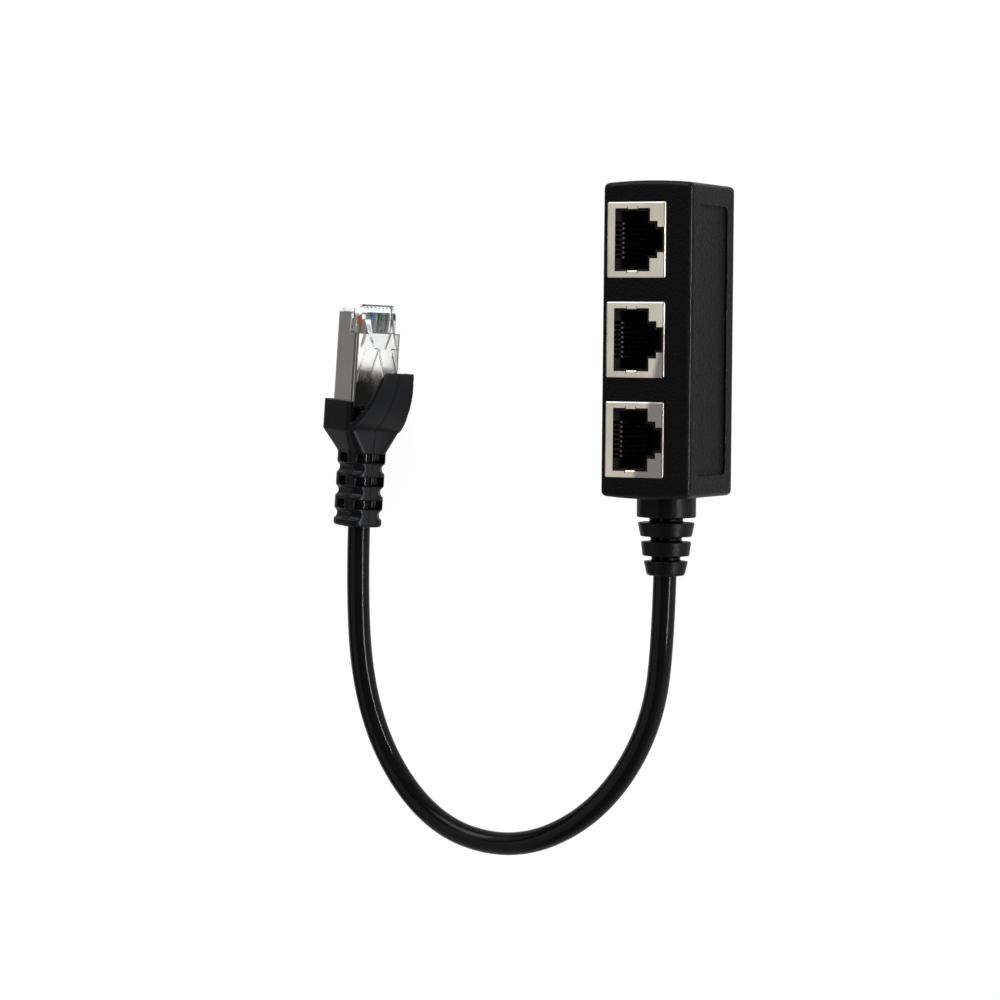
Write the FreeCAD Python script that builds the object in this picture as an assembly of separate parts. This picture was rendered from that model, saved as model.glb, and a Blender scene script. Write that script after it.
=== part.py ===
"""Network splitter lead: one shielded 8-contact plug on a short cable to three shielded sockets.

The moulded block lies on its back. X runs across the socket faces, Y along the block towards
the end without the cable, Z out of the sockets. The origin is the centre of the back face.
The cable leaves the lower end, turns on the table and ends in the booted plug beside the block.
All sizes are millimetres and degrees.
"""
import os
import FreeCAD
import Part
from math import acos, cos, pi, radians, sin, sqrt, tan

V = FreeCAD.Vector
X_AXIS = V(1, 0, 0)
Y_AXIS = V(0, 1, 0)
Z_AXIS = V(0, 0, 1)

# moulded housing block
housing_width = 20.5
housing_depth = 23.4
housing_edge_radius = 1.2
end_face_crown = 0.5
housing_back_wall = 2.4
moulding_fit = 0.03

# bare recessed panel on the right side face
panel_recess = 0.5
panel_end_margin = 5.0
panel_front_margin = 3.5
panel_back_margin = 4.3
panel_corner_radius = 1.5

# sockets, one column of three
socket_count = 3
socket_pitch = 20.9
socket_height = 13.4
socket_width = 16.0
socket_left_margin = 1.2
socket_end_margin = 4.45
shield_proud = 0.3
shield_sheet = 0.25
shield_bend_radius = 0.4
shield_lip_depth = 2.5

# stepped opening in the shield's face, from the contact side to the latch side
mouth_edge = 1.88
mouth_height = 8.0
mouth_width = 13.2
mouth_step_height = 1.74
mouth_step_width = 7.8
mouth_slot_height = 1.48
mouth_slot_width = 5.3
spring_tab_width = 2.2
spring_tab_sheet = 0.2
spring_tab_reach = 0.4
spring_tab_depth = 3.2
spring_tab_root = 0.45
spring_tab_slit = 0.15

# plastic insert inside each shield
insert_fit = 0.05
insert_corner_radius = 0.3
cavity_margin = 0.58
cavity_back_margin = 7.3
latch_lip = 1.8
bulkhead = 1.2

# spring contacts, eight to a socket
contact_count = 8
contact_pitch = 1.016
contact_width = 0.45
contact_sheet = 0.3
contact_bend_radius = 0.55
contact_bend_slack = 0.01
contact_front_depth = 4.0
contact_inset = 0.9
contact_free_gap = 1.4
contact_free_height = 3.3
contact_row_spacing = 2.54
contact_tail_margin = 2.36
comb_clearance = 0.1
tongue_width = 9.2
tongue_sheet = 0.6
tail_length = 1.2

# circuit board behind the sockets' latch side
board_sheet = 1.6
board_gap = 0.2
board_end_margin = 3.2
board_side_margin = 1.6
tail_hole_radius = 0.42
pocket_clearance = 0.3
board_pocket_thickness = 3.8

# cable and its eight conductors
cable_diameter = 5.0
cable_inner_end = 1.85
conductor_diameter = 0.89
conductor_bend_radius = 1.0
conductor_climb = 4.0
conductor_gap = 0.1

# strain relief of the housing: end and start radii and lengths of its rings
relief_ring_radii = ((6.3, 6.3), (6.05, 5.45), (5.35, 4.95), (4.7, 4.0))
relief_ring_lengths = (4.1, 2.95, 3.0, 3.1)
relief_groove_radii = (3.55, 3.3, 3.05)
relief_groove_length = 1.1
relief_window_width = 2.6
relief_cable_fit = 0.08

# plug body, measured back from its nose
plug_width = 11.68
plug_length = 21.5
plug_contact_side = 4.1
plug_nose_top = 2.4
plug_rear_top = 3.9
plug_nose_length = 5.2
plug_edge_radius = 0.5
blade_count = 8
blade_pitch = 1.02
blade_sheet = 0.35
blade_front = 1.0
blade_length = 5.6
blade_recess = 0.45
wire_axis_height = -0.9
wire_nose_gap = 1.3
wire_row_length = 12.0
jacket_end_depth = 22.2
load_bar_front = 7.0
load_bar_length = 4.5
load_bar_height = 2.6
load_bar_edge = 0.35

# latch moulded on the plug body
latch_root_width = 7.4
latch_width = 6.0
latch_handle_width = 3.25
latch_sheet = 1.2
latch_catch = 8.6
latch_root_overhang = 1.1
latch_root_top = 4.3
latch_root_length = 2.2
latch_tip = (16.4, 11.0)
latch_middle = (6.0, 6.15)
latch_under_middle = (6.4, 4.85)

# plug shield and its crimp ring
plug_shield_sheet = 0.2
plug_shield_side_start = 0.85
plug_shield_back_start = 7.4
plug_shield_side_top = 1.2
crimp_ring_start = 22.6
crimp_ring_length = 3.6
crimp_ring_sheet = 0.4
crimp_strap_width = 4.0

# boot, measured back from the plug's nose
boot_front = 20.4
boot_width = 13.9
boot_back = 6.9
boot_top = 5.0
boot_block_length = 6.6
boot_wall = 1.2
boot_corner_radius = 1.6
boot_taper_length = 4.8
boot_overlap = 1.3
boot_plug_fit = 0.1
boot_floor = 0.8
sleeve_width = 9.3
sleeve_corner_radius = 2.8
sleeve_length = 16.6
boot_cable_clearance = 0.22
sleeve_segments = 3
sleeve_segment_pitch = 5.15
sleeve_window_offset = 0.3
sleeve_window_length = 2.0
sleeve_window_width = 7.4
sleeve_side_window_width = 2.6
sleeve_window_floor = 1.9
sleeve_groove_offset = 3.6
sleeve_groove_radius = 1.25
sleeve_groove_side_depth = 0.9
sleeve_groove_corner_depth = 0.75
sleeve_lip_radius = 0.7

# guard over the latch: points are (distance behind the nose, height over the plug's axis)
guard_tip = (13.3, 14.9)
guard_outer_middle = (20.4, 11.8)
guard_outer_root = (27.2, 4.2)
guard_inner_tip = (15.3, 12.6)
guard_inner_middle = (20.8, 9.6)
guard_inner_root = (26.4, 3.2)
guard_tip_width = 7.8
guard_middle_width = 11.2
guard_root_overlap = 1.0

# where the plug lies on the table
plug_nose_place = (-73.6, 6.3)
plug_lean = 3.4
plug_roll = 62.0

# the free cable's route: how far it runs straight out of each end, and its corners on the table
cable_housing_lead = 60.0
cable_plug_lead = 57.0
cable_route = (
    (-6.6, -84.0, 3.1), (-19.8, -103.2, 2.6), (-40.0, -112.8, 2.6), (-61.7, -107.6, 2.6),
    (-77.2, -85.2, 2.8),
)
arc_share = 0.45
wire_arc_share = 0.12

# how far a cut runs past a face, and the tolerance for finding edges
past = 1.0
tiny = 1e-6

# derived places
housing_length = (socket_count - 1) * socket_pitch + socket_width + 2 * socket_end_margin
housing_end = housing_length / 2
housing_side = housing_width / 2
socket_low = -housing_side + socket_left_margin
socket_high = socket_low + socket_height
socket_face = housing_depth + shield_proud
socket_back = housing_back_wall
socket_places = [(i - (socket_count - 1) / 2) * socket_pitch for i in range(socket_count)]
mouth_low = socket_low + mouth_edge
mouth_step = mouth_low + mouth_height
mouth_slot = mouth_step + mouth_step_height
mouth_end = mouth_slot + mouth_slot_height
mouth_middle = (mouth_low + mouth_step) / 2
cavity_floor = socket_back + cavity_back_margin
contact_run = socket_low + contact_inset
contact_front = socket_face - contact_front_depth
cable_height = housing_depth / 2
cable_radius = cable_diameter / 2
cable_inner_place = -housing_end + cable_inner_end
board_near = socket_high + board_gap
board_far = board_near + board_sheet
board_end = housing_end - board_end_margin
blade_places = [(i - (blade_count - 1) / 2) * blade_pitch for i in range(blade_count)]
wire_row_half = blade_places[-1] + conductor_diameter / 2 + insert_fit
plug_axis_height = (boot_corner_radius
                    + (boot_width / 2 - boot_corner_radius) * sin(radians(plug_roll))
                    + (boot_back - boot_corner_radius) * cos(radians(plug_roll)))
plug_place = FreeCAD.Placement(
    V(plug_nose_place[0], plug_nose_place[1], plug_axis_height),
    FreeCAD.Rotation(Z_AXIS, -plug_lean).multiply(FreeCAD.Rotation(Y_AXIS, plug_roll)))


def box(x0, x1, y0, y1, z0, z1):
    """Box between two opposite corners."""
    return Part.makeBox(x1 - x0, y1 - y0, z1 - z0, V(x0, y0, z0))


def slab(x0, x1, middle, half, z0, z1):
    """Box that reaches as far to each side of a place on Y."""
    return box(x0, x1, middle - half, middle + half, z0, z1)


def centred(half, y0, y1, z0, z1):
    """Box that reaches as far to each side of X = 0."""
    return box(-half, half, y0, y1, z0, z1)


def extruded(face_edges, width):
    """Flat outline in a plane square to X, pushed to half the width on each side of X = 0."""
    return Part.Face(Part.Wire(face_edges)).extrude(X_AXIS * width).translated(X_AXIS * (-width / 2))


def line(start, end):
    """Straight edge."""
    return Part.LineSegment(start, end).toShape()


def arc(start, middle, end):
    """Arc through three points."""
    return Part.Arc(start, middle, end).toShape()


def on_side(point):
    """Point of the plug's side view, given as distance behind the nose and height over the axis."""
    return V(0, -point[0], point[1])


def fuse(solids):
    """All solids as one."""
    first = solids[0]
    return first.multiFuse(solids[1:]).removeSplitter() if len(solids) > 1 else first


def group(solids):
    """Separate solids kept together as one shape."""
    return Part.makeCompound(solids)


def edges_along(shape, direction):
    """Straight edges parallel to a direction."""
    found = []
    for edge in shape.Edges:
        if edge.Curve.TypeId == "Part::GeomLine" and 1 - abs(edge.tangentAt(0).dot(direction)) < tiny:
            found.append(edge)
    return found


def rounded_box(x0, x1, y0, y1, z0, z1, radius, direction):
    """Box with the four edges along one direction rounded."""
    solid = box(x0, x1, y0, y1, z0, z1)
    return solid.makeFillet(radius, edges_along(solid, direction))


def rounded_path(points, share=None, radius=None):
    """Straight runs joined by tangent arcs, each sized by a share of its shorter run or by a radius."""
    edges = []
    radii = []
    start = points[0]
    for before, corner, after in zip(points, points[1:], points[2:]):
        into = (corner - before).normalize()
        out = (after - corner).normalize()
        turn = acos(max(-1, min(1, into.dot(out))))
        if share:
            reach = share * min(corner.distanceToPoint(before), corner.distanceToPoint(after))
            arc_radius = reach / tan(turn / 2)
        else:
            arc_radius = radius
            reach = radius * tan(turn / 2)
        arc_start = corner - into * reach
        arc_end = corner + out * reach
        inward = (out - into).normalize()
        arc_middle = corner + inward * (arc_radius / cos(turn / 2) - arc_radius)
        edges.append(line(start, arc_start))
        edges.append(arc(arc_start, arc_middle, arc_end))
        radii.append(round(arc_radius, 1))
        start = arc_end
    edges.append(line(start, points[-1]))
    return Part.Wire(edges), radii


def tube(path, radius):
    """Round rod along a path of tangent edges."""
    start = path.Edges[0].valueAt(path.Edges[0].FirstParameter)
    ahead = path.Edges[0].tangentAt(path.Edges[0].FirstParameter)
    ring = Part.Wire(Part.makeCircle(radius, start, ahead))
    return path.makePipeShell([ring], True, True)


def strip(path, across, width, sheet):
    """Rectangular strip along a flat path, with its width across the path's plane."""
    start = path.Edges[0].valueAt(path.Edges[0].FirstParameter)
    ahead = path.Edges[0].tangentAt(path.Edges[0].FirstParameter)
    side = across * (width / 2)
    thick = ahead.cross(across) * (sheet / 2)
    corners = [start + side + thick, start - side + thick, start - side - thick, start + side - thick]
    return path.makePipeShell([Part.makePolygon(corners + [corners[0]])], True, True)


def housing():
    """Moulded block with its pockets, side panel and segmented strain relief."""
    corner = housing_end - end_face_crown
    outline = [arc(V(housing_side, corner, 0), V(0, housing_end, 0), V(-housing_side, corner, 0)),
               line(V(-housing_side, corner, 0), V(-housing_side, -corner, 0)),
               arc(V(-housing_side, -corner, 0), V(0, -housing_end, 0), V(housing_side, -corner, 0)),
               line(V(housing_side, -corner, 0), V(housing_side, corner, 0))]
    block = Part.Face(Part.Wire(outline)).extrude(Z_AXIS * housing_depth)
    block = block.makeFillet(housing_edge_radius, block.Edges)
    reach = housing_end - panel_end_margin
    panel = rounded_box(housing_side - panel_recess, housing_side + past, -reach, reach,
                        panel_back_margin, housing_depth - panel_front_margin,
                        panel_corner_radius, X_AXIS)
    sockets = [slab(socket_low - moulding_fit, socket_high + moulding_fit, y, socket_width / 2 + moulding_fit,
                    socket_back, housing_depth + past) for y in socket_places]
    pocket_far = board_near + board_pocket_thickness
    pocket_low = board_side_margin - pocket_clearance
    board_room = slab(board_near - board_gap, pocket_far, 0, board_end + pocket_clearance,
                      pocket_low, housing_depth - pocket_low)
    spread = contact_count * (conductor_diameter + conductor_gap) / 2 + pocket_clearance
    wire_room = box(-cable_radius, pocket_far, cable_inner_place, -board_end,
                    cable_height - spread, cable_height + spread)
    bore = Part.makeCylinder(cable_radius + relief_cable_fit, housing_length,
                             V(0, cable_inner_place, cable_height), -Y_AXIS)
    return fuse([block, strain_relief()]).cut([panel, board_room, wire_room, bore] + sockets)


def strain_relief():
    """Tapered rings joined by grooved necks, with small windows down to the cable."""
    inside = -housing_end + end_face_crown + housing_edge_radius
    y = -housing_end
    corners = [V(0, inside, cable_height), V(relief_ring_radii[0][0], inside, cable_height)]
    edges = [line(corners[0], corners[1])]
    last = corners[1]
    windows = []
    for index, (length, radii) in enumerate(zip(relief_ring_lengths, relief_ring_radii)):
        if index:
            neck = relief_groove_radii[index - 1]
            half = relief_groove_length / 2
            floor_start = V(neck + half, y, cable_height)
            floor_end = V(neck + half, y - relief_groove_length, cable_height)
            ring_start = V(radii[0], y - relief_groove_length, cable_height)
            edges += [line(last, floor_start), arc(floor_start, V(neck, y - half, cable_height), floor_end),
                      line(floor_end, ring_start)]
            windows.append(centred(relief_window_width / 2, y - relief_groove_length, y,
                                   cable_height - radii[0], cable_height + radii[0]))
            last = ring_start
            y -= relief_groove_length
        y -= length
        ring_end = V(radii[1], y, cable_height)
        edges.append(line(last, ring_end))
        last = ring_end
    tip = V(0, y, cable_height)
    edges += [line(last, tip), line(tip, corners[0])]
    body = Part.Face(Part.Wire(edges)).revolve(V(0, 0, cable_height), Y_AXIS, 360)
    return body.cut(windows)


def socket_shield(y):
    """Folded metal shell: stepped mouth, grounding springs, open towards the board."""
    sheet = shield_sheet
    half_width = socket_width / 2
    shell = slab(socket_low, socket_high, y, half_width, socket_back, socket_face)
    folds = [edge for edge in shell.Edges if edge.CenterOfMass.z > socket_back + sheet]
    shell = shell.makeFillet(shield_bend_radius, folds)
    room = rounded_box(socket_low + sheet, socket_high - sheet,
                       y - half_width + sheet, y + half_width - sheet,
                       socket_back + sheet, socket_face - sheet, shield_bend_radius - sheet, Z_AXIS)
    board_side = slab(socket_high - sheet * 2, socket_high + past, y, half_width - shield_bend_radius,
                      socket_back + sheet, socket_face - shield_lip_depth)
    face = socket_face - sheet * 2
    over = socket_face + past
    cuts = [room, board_side,
            slab(mouth_low, mouth_step, y, mouth_width / 2, face, over),
            slab(mouth_step, mouth_slot, y, mouth_step_width / 2, face, over),
            slab(mouth_slot, mouth_end, y, mouth_slot_width / 2, face, over)]
    tabs = []
    for side in (-1, 1):
        edge = y + side * mouth_width / 2
        for end in (-1, 1):
            slit = mouth_middle + end * (spring_tab_width + spring_tab_slit) / 2
            cuts.append(slab(slit - spring_tab_slit / 2, slit + spring_tab_slit / 2, edge,
                             spring_tab_root, face, over))
        tabs.append(spring_tab(edge, side))
    return fuse([shell.cut(cuts)] + tabs)


def spring_tab(edge, side):
    """Grounding spring that curls from the mouth's short side into the cavity."""
    outer = socket_face - spring_tab_sheet / 2
    inner_edge = edge - side * (spring_tab_reach - spring_tab_sheet)
    points = [V(mouth_middle, edge + side * spring_tab_root, outer), V(mouth_middle, inner_edge, outer),
              V(mouth_middle, inner_edge, socket_face - spring_tab_depth)]
    path, _ = rounded_path(points, radius=spring_tab_reach)
    return strip(path, X_AXIS, spring_tab_width, spring_tab_sheet)


def socket_insert(y):
    """Plastic body of a socket: plug cavity, latch channel with its lip, and a window for the contacts."""
    inset = shield_sheet + insert_fit
    half_width = socket_width / 2 - inset
    front = socket_face - inset
    back = socket_back + inset
    over = socket_face + past
    body = rounded_box(socket_low + inset, socket_high - inset, y - half_width, y + half_width, back, front,
                       insert_corner_radius, Z_AXIS)
    low = mouth_low + cavity_margin
    step = mouth_step - cavity_margin
    slot = mouth_slot - cavity_margin
    end = mouth_end - cavity_margin
    step_half = mouth_step_width / 2 - cavity_margin
    window_low = socket_low + contact_inset - contact_sheet
    tongue_half = tongue_width / 2
    tab_half = spring_tab_width / 2 + spring_tab_slit
    cuts = [slab(low, step, y, mouth_width / 2 - cavity_margin, cavity_floor, over),
            slab(step, slot, y, step_half, cavity_floor, over),
            slab(slot, end, y, mouth_slot_width / 2 - cavity_margin, cavity_floor, over),
            slab(slot, end, y, step_half, cavity_floor, front - latch_lip),
            slab(window_low, low, y, tongue_half, back - past, contact_front + contact_sheet),
            slab(window_low, socket_high + past, y, tongue_half, back - past, cavity_floor - bulkhead),
            slab(mouth_middle - tab_half, mouth_middle + tab_half, y, mouth_width / 2 + insert_fit,
                 socket_face - spring_tab_depth - spring_tab_slit, over)]
    comb_half = contact_width / 2 + comb_clearance
    cuts += [slab(window_low, low, place, comb_half, contact_front, over) for place, _ in contact_places(y)]
    return body.cut(cuts)


def contact_places(y):
    """Place along the block and height of the tail of each of a socket's contacts."""
    for index in range(contact_count):
        tail = socket_back + contact_tail_margin + (1 - index % 2) * contact_row_spacing
        yield y + (index - (contact_count - 1) / 2) * contact_pitch, tail


def contact_block(y):
    """Insert that carries a socket's contacts: rear body, and a tongue that they wrap round."""
    half = tongue_width / 2 - insert_fit
    rear = socket_back + shield_sheet + insert_fit
    front = cavity_floor - bulkhead - insert_fit
    run_low = contact_run - contact_sheet
    body = slab(run_low + insert_fit, socket_high - shield_sheet - insert_fit, y, half, rear, front)
    tongue_low = contact_run + contact_sheet / 2 + insert_fit
    tongue = slab(tongue_low, tongue_low + tongue_sheet, y, half, front,
                  contact_front - contact_bend_radius - insert_fit)
    slots = []
    slot_half = contact_width / 2 + insert_fit
    sheet_half = contact_sheet / 2 + insert_fit
    bend_room = contact_bend_radius + contact_sheet
    for place, tail in contact_places(y):
        slots.append(slab(run_low, contact_run + sheet_half, place, slot_half,
                          tail - sheet_half, front + past))
        slots.append(slab(run_low, board_near, place, slot_half, tail - sheet_half, tail + sheet_half))
        slots.append(slab(run_low, contact_run + bend_room, place, slot_half,
                          tail - sheet_half, tail + bend_room))
    return fuse([body, tongue]).cut(slots)


def contact_set(y):
    """Eight spring contacts, each from its soldered tail round the tongue to its free end."""
    contacts = []
    front = contact_front - contact_sheet / 2
    free_end = V(contact_run + contact_free_height, 0, cavity_floor + contact_free_gap)
    for place, tail in contact_places(y):
        corners = [V(board_far + tail_length, 0, tail), V(contact_run, 0, tail), V(contact_run, 0, front),
                   V(contact_run + contact_bend_radius * 2, 0, front), free_end]
        path, _ = rounded_path(corners, radius=contact_bend_radius - contact_bend_slack)
        contacts.append(strip(path, Y_AXIS, contact_width, contact_sheet).translated(Y_AXIS * place))
    return group(contacts)


def circuit_board():
    """Board along all three sockets, drilled for their tails."""
    plate = slab(board_near, board_far, 0, board_end,
                 board_side_margin, housing_depth - board_side_margin)
    holes = []
    for y in socket_places:
        for place, tail in contact_places(y):
            holes.append(Part.makeCylinder(tail_hole_radius, board_sheet + past * 2,
                                           V(board_near - past, place, tail), X_AXIS))
    return plate.cut(holes)


def board_wires():
    """Conductors from the cable's inner end to the board's outer face."""
    wires = []
    low = cable_inner_place + conductor_gap + conductor_diameter / 2
    far = board_far + conductor_diameter / 2
    for index in range(contact_count):
        height = cable_height + (index - (contact_count - 1) / 2) * (conductor_diameter + conductor_gap)
        points = [V(-cable_radius / 2, low, height), V(far, low, height),
                  V(far, low + conductor_climb, height)]
        path, _ = rounded_path(points, radius=conductor_bend_radius)
        wires.append(tube(path, conductor_diameter / 2))
    return group(wires)


def on_plug(shape):
    """Move a shape from the plug's own frame to where the plug lies."""
    return shape.transformed(plug_place.toMatrix())


def cable():
    """Round cable: held straight in both reliefs, and free between them."""
    jacket_end = plug_place.multVec(V(0, -jacket_end_depth, 0))
    points = [V(0, cable_inner_place, cable_height), V(0, -cable_housing_lead, cable_height)]
    points += [V(*corner) for corner in cable_route]
    points += [plug_place.multVec(V(0, -cable_plug_lead, 0)), jacket_end]
    path, radii = rounded_path(points, share=arc_share)
    solid = tube(path, cable_radius)
    print("cable arc radii", radii)
    print("cable length", round(path.Length, 1), "volume ratio",
          round(solid.Volume / (pi * cable_radius ** 2 * path.Length), 4))
    return solid


def latch():
    """Spring latch: hinge arch ahead of the nose, wide arm with catch shoulders, narrow handle."""
    sole_height = plug_nose_top - latch_sheet
    lower = on_side((0, sole_height))
    front = on_side((-latch_root_overhang, (sole_height + latch_root_top) / 2))
    upper = on_side((latch_root_overhang / 2, latch_root_top))
    tip = on_side(latch_tip)
    tip_under = on_side((latch_tip[0], latch_tip[1] - latch_sheet))
    foot = on_side((latch_root_length, plug_nose_top))
    heel = on_side((latch_root_length, sole_height))
    arm = extruded([arc(lower, front, upper), arc(upper, on_side(latch_middle), tip), line(tip, tip_under),
                    arc(tip_under, on_side(latch_under_middle), foot), line(foot, heel), line(heel, lower)],
                   latch_root_width)
    plan = [centred(width / 2, -reach, latch_root_overhang + past, sole_height - past, latch_tip[1] + past)
            for width, reach in ((latch_root_width, latch_root_length), (latch_width, latch_catch),
                                 (latch_handle_width, latch_tip[0] + past))]
    return arm.common(fuse(plan))


def plug_body():
    """Clear body with blade slots, a wire cavity and the latch."""
    half = plug_width / 2 - plug_shield_sheet
    nose = rounded_box(-half, half, -plug_length, 0, -plug_contact_side, plug_nose_top,
                       plug_edge_radius, Y_AXIS)
    rear = rounded_box(-half, half, -plug_length, -plug_nose_length, -plug_contact_side, plug_rear_top,
                       plug_edge_radius, Y_AXIS)
    wire_half = conductor_diameter / 2 + insert_fit
    bar_half = load_bar_height / 2 + insert_fit
    room_half = wire_row_half + load_bar_edge + insert_fit
    bar_end = -load_bar_front - load_bar_length
    cuts = [centred(wire_row_half, -load_bar_front, insert_fit - wire_nose_gap,
                    wire_axis_height - wire_half, wire_axis_height + wire_half),
            centred(room_half, bar_end - insert_fit, insert_fit - load_bar_front,
                    wire_axis_height - bar_half, wire_axis_height + bar_half),
            centred(room_half, -plug_length - past, bar_end, -cable_radius, cable_radius)]
    for x in blade_places:
        slot_half = blade_sheet / 2 + insert_fit
        cuts.append(box(x - slot_half, x + slot_half, -blade_front - blade_length - insert_fit,
                        insert_fit - blade_front, -plug_contact_side - past, wire_axis_height))
    return on_plug(fuse([nose, rear, latch()]).cut(cuts))


def plug_blades():
    """Eight insulation-piercing blades with rounded outer corners."""
    blades = []
    low = -plug_contact_side + blade_recess
    high = wire_axis_height - conductor_diameter / 2 - insert_fit
    for x in blade_places:
        blade = box(x - blade_sheet / 2, x + blade_sheet / 2, -blade_front - blade_length, -blade_front,
                    low, high)
        corners = [edge for edge in edges_along(blade, X_AXIS) if edge.CenterOfMass.z < (low + high) / 2]
        blades.append(blade.makeFillet(blade_recess, corners))
    return on_plug(group(blades))


def plug_load_bar():
    """Bar that keeps the eight wires in a row."""
    bar = centred(wire_row_half + load_bar_edge, -load_bar_front - load_bar_length, -load_bar_front,
                  wire_axis_height - load_bar_height / 2, wire_axis_height + load_bar_height / 2)
    holes = [Part.makeCylinder(conductor_diameter / 2 + insert_fit / 2, load_bar_length + past * 2,
                               V(x, past - load_bar_front, wire_axis_height), -Y_AXIS) for x in blade_places]
    return on_plug(bar.cut(holes))


def plug_wire(index):
    """One conductor from the jacket's end to its place in the row at the nose."""
    x = blade_places[index]
    jacket = -jacket_end_depth + conductor_gap
    angle = pi * (index + 0.5) / contact_count
    ring = cable_radius - conductor_diameter / 2 - conductor_gap
    side = 1 if index % 2 else -1
    start = V(-ring * cos(angle), jacket, side * ring * sin(angle))
    points = [start, V(start.x, jacket + conductor_diameter * 2, start.z),
              V(x, -wire_row_length - conductor_diameter, wire_axis_height),
              V(x, -wire_nose_gap, wire_axis_height)]
    path, _ = rounded_path(points, share=wire_arc_share)
    return on_plug(tube(path, conductor_diameter / 2))


def plug_shield():
    """Nickel shell wrapped round the plug, with the crimp ring on a strap."""
    half = plug_width / 2
    sheet = plug_shield_sheet
    low = -plug_contact_side - sheet
    high = plug_rear_top + sheet
    shell = rounded_box(-half, half, -plug_length, -plug_shield_side_start, low, high,
                        plug_edge_radius + sheet, Y_AXIS)
    room = rounded_box(-half + sheet, half - sheet, -plug_length - past, past, low + sheet, high - sheet,
                       plug_edge_radius, Y_AXIS)
    cuts = [room,
            centred(half - sheet, -plug_shield_back_start, 0, low - past, low + past),
            centred(half + past, -plug_nose_length, 0, plug_shield_side_top, high + past)]
    ring_place = V(0, -crimp_ring_start, 0)
    inner_radius = cable_radius + insert_fit
    ring = Part.makeCylinder(inner_radius + crimp_ring_sheet, crimp_ring_length, ring_place, -Y_AXIS)
    ring = ring.cut(Part.makeCylinder(inner_radius, crimp_ring_length, ring_place, -Y_AXIS))
    return on_plug(fuse([shell.cut(cuts), ring, crimp_strap(low, -inner_radius - crimp_ring_sheet / 2)]))


def crimp_strap(low, ring_wall):
    """Strip that runs from the shield's contact side down into the crimp ring's wall."""
    sheet = plug_shield_sheet
    bend = plug_length + insert_fit
    ring_middle = crimp_ring_start + crimp_ring_length / 3
    corners = [on_side(point) for point in (
        (plug_length - sheet, low), (plug_length - sheet, low + sheet), (bend, low + sheet),
        (ring_middle, ring_wall), (ring_middle, ring_wall - sheet), (bend, low))]
    edges = [line(start, end) for start, end in zip(corners, corners[1:] + corners[:1])]
    return extruded(edges, crimp_strap_width)


def rounded_outline(half_x, low, high, radius, y):
    """Rounded rectangle square to Y, as a closed wire."""
    outline = rounded_box(-half_x, half_x, y, y + 1, low, high, radius, Y_AXIS)
    face = min(outline.Faces, key=lambda item: item.CenterOfMass.y)
    return face.OuterWire


def guard():
    """Curved guard over the latch: its side profile cut to its plan outline."""
    profile = [arc(on_side(guard_tip), on_side(guard_outer_middle), on_side(guard_outer_root)),
               line(on_side(guard_outer_root), on_side(guard_inner_root)),
               arc(on_side(guard_inner_root), on_side(guard_inner_middle), on_side(guard_inner_tip)),
               line(on_side(guard_inner_tip), on_side(guard_tip))]
    side_view = extruded(profile, boot_width)
    half = boot_width / 2
    end = -boot_front - boot_block_length
    places = [(guard_tip_width / 2, -guard_tip[0]), (guard_middle_width / 2, -guard_outer_middle[0]),
              (half, end), (half, end - guard_root_overlap)]
    right = [V(x, y, 0) for x, y in places]
    left = [V(-x, y, 0) for x, y in places]
    outline = [arc(right[0], right[1], right[2]), line(right[2], right[3]), line(right[3], left[3]),
               line(left[3], left[2]), arc(left[2], left[1], left[0]), line(left[0], right[0])]
    return side_view.common(Part.Face(Part.Wire(outline)).extrude(Z_AXIS * (guard_tip[1] + past)))


def sleeve_windows(y):
    """Cuts through all four walls of the sleeve, down to the cable."""
    cuts = []
    for side in (-1, 1):
        low, high = sorted((side * sleeve_window_floor, side * sleeve_width))
        across = sleeve_window_width / 2
        beside = sleeve_side_window_width / 2
        cuts.append(box(-across, across, y - sleeve_window_length, y, low, high))
        cuts.append(box(low, high, y - sleeve_window_length, y, -beside, beside))
    return cuts


def sleeve_grooves(y):
    """Scallops in the sleeve's two side walls and round its four corners."""
    cuts = []
    corner = (sleeve_width / 2 - sleeve_corner_radius) * sqrt(2) + sleeve_corner_radius
    side_place = sleeve_width / 2 + sleeve_groove_radius - sleeve_groove_side_depth
    corner_place = corner + sleeve_groove_radius - sleeve_groove_corner_depth
    for turn, place in ((0, side_place), (180, side_place), (45, corner_place), (135, corner_place),
                        (225, corner_place), (315, corner_place)):
        out = FreeCAD.Rotation(Y_AXIS, turn).multVec(X_AXIS)
        along = FreeCAD.Rotation(Y_AXIS, turn).multVec(Z_AXIS)
        start = out * place - along * sleeve_width + Y_AXIS * y
        cuts.append(Part.makeCylinder(sleeve_groove_radius, sleeve_width * 2, start, along))
    return cuts


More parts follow.
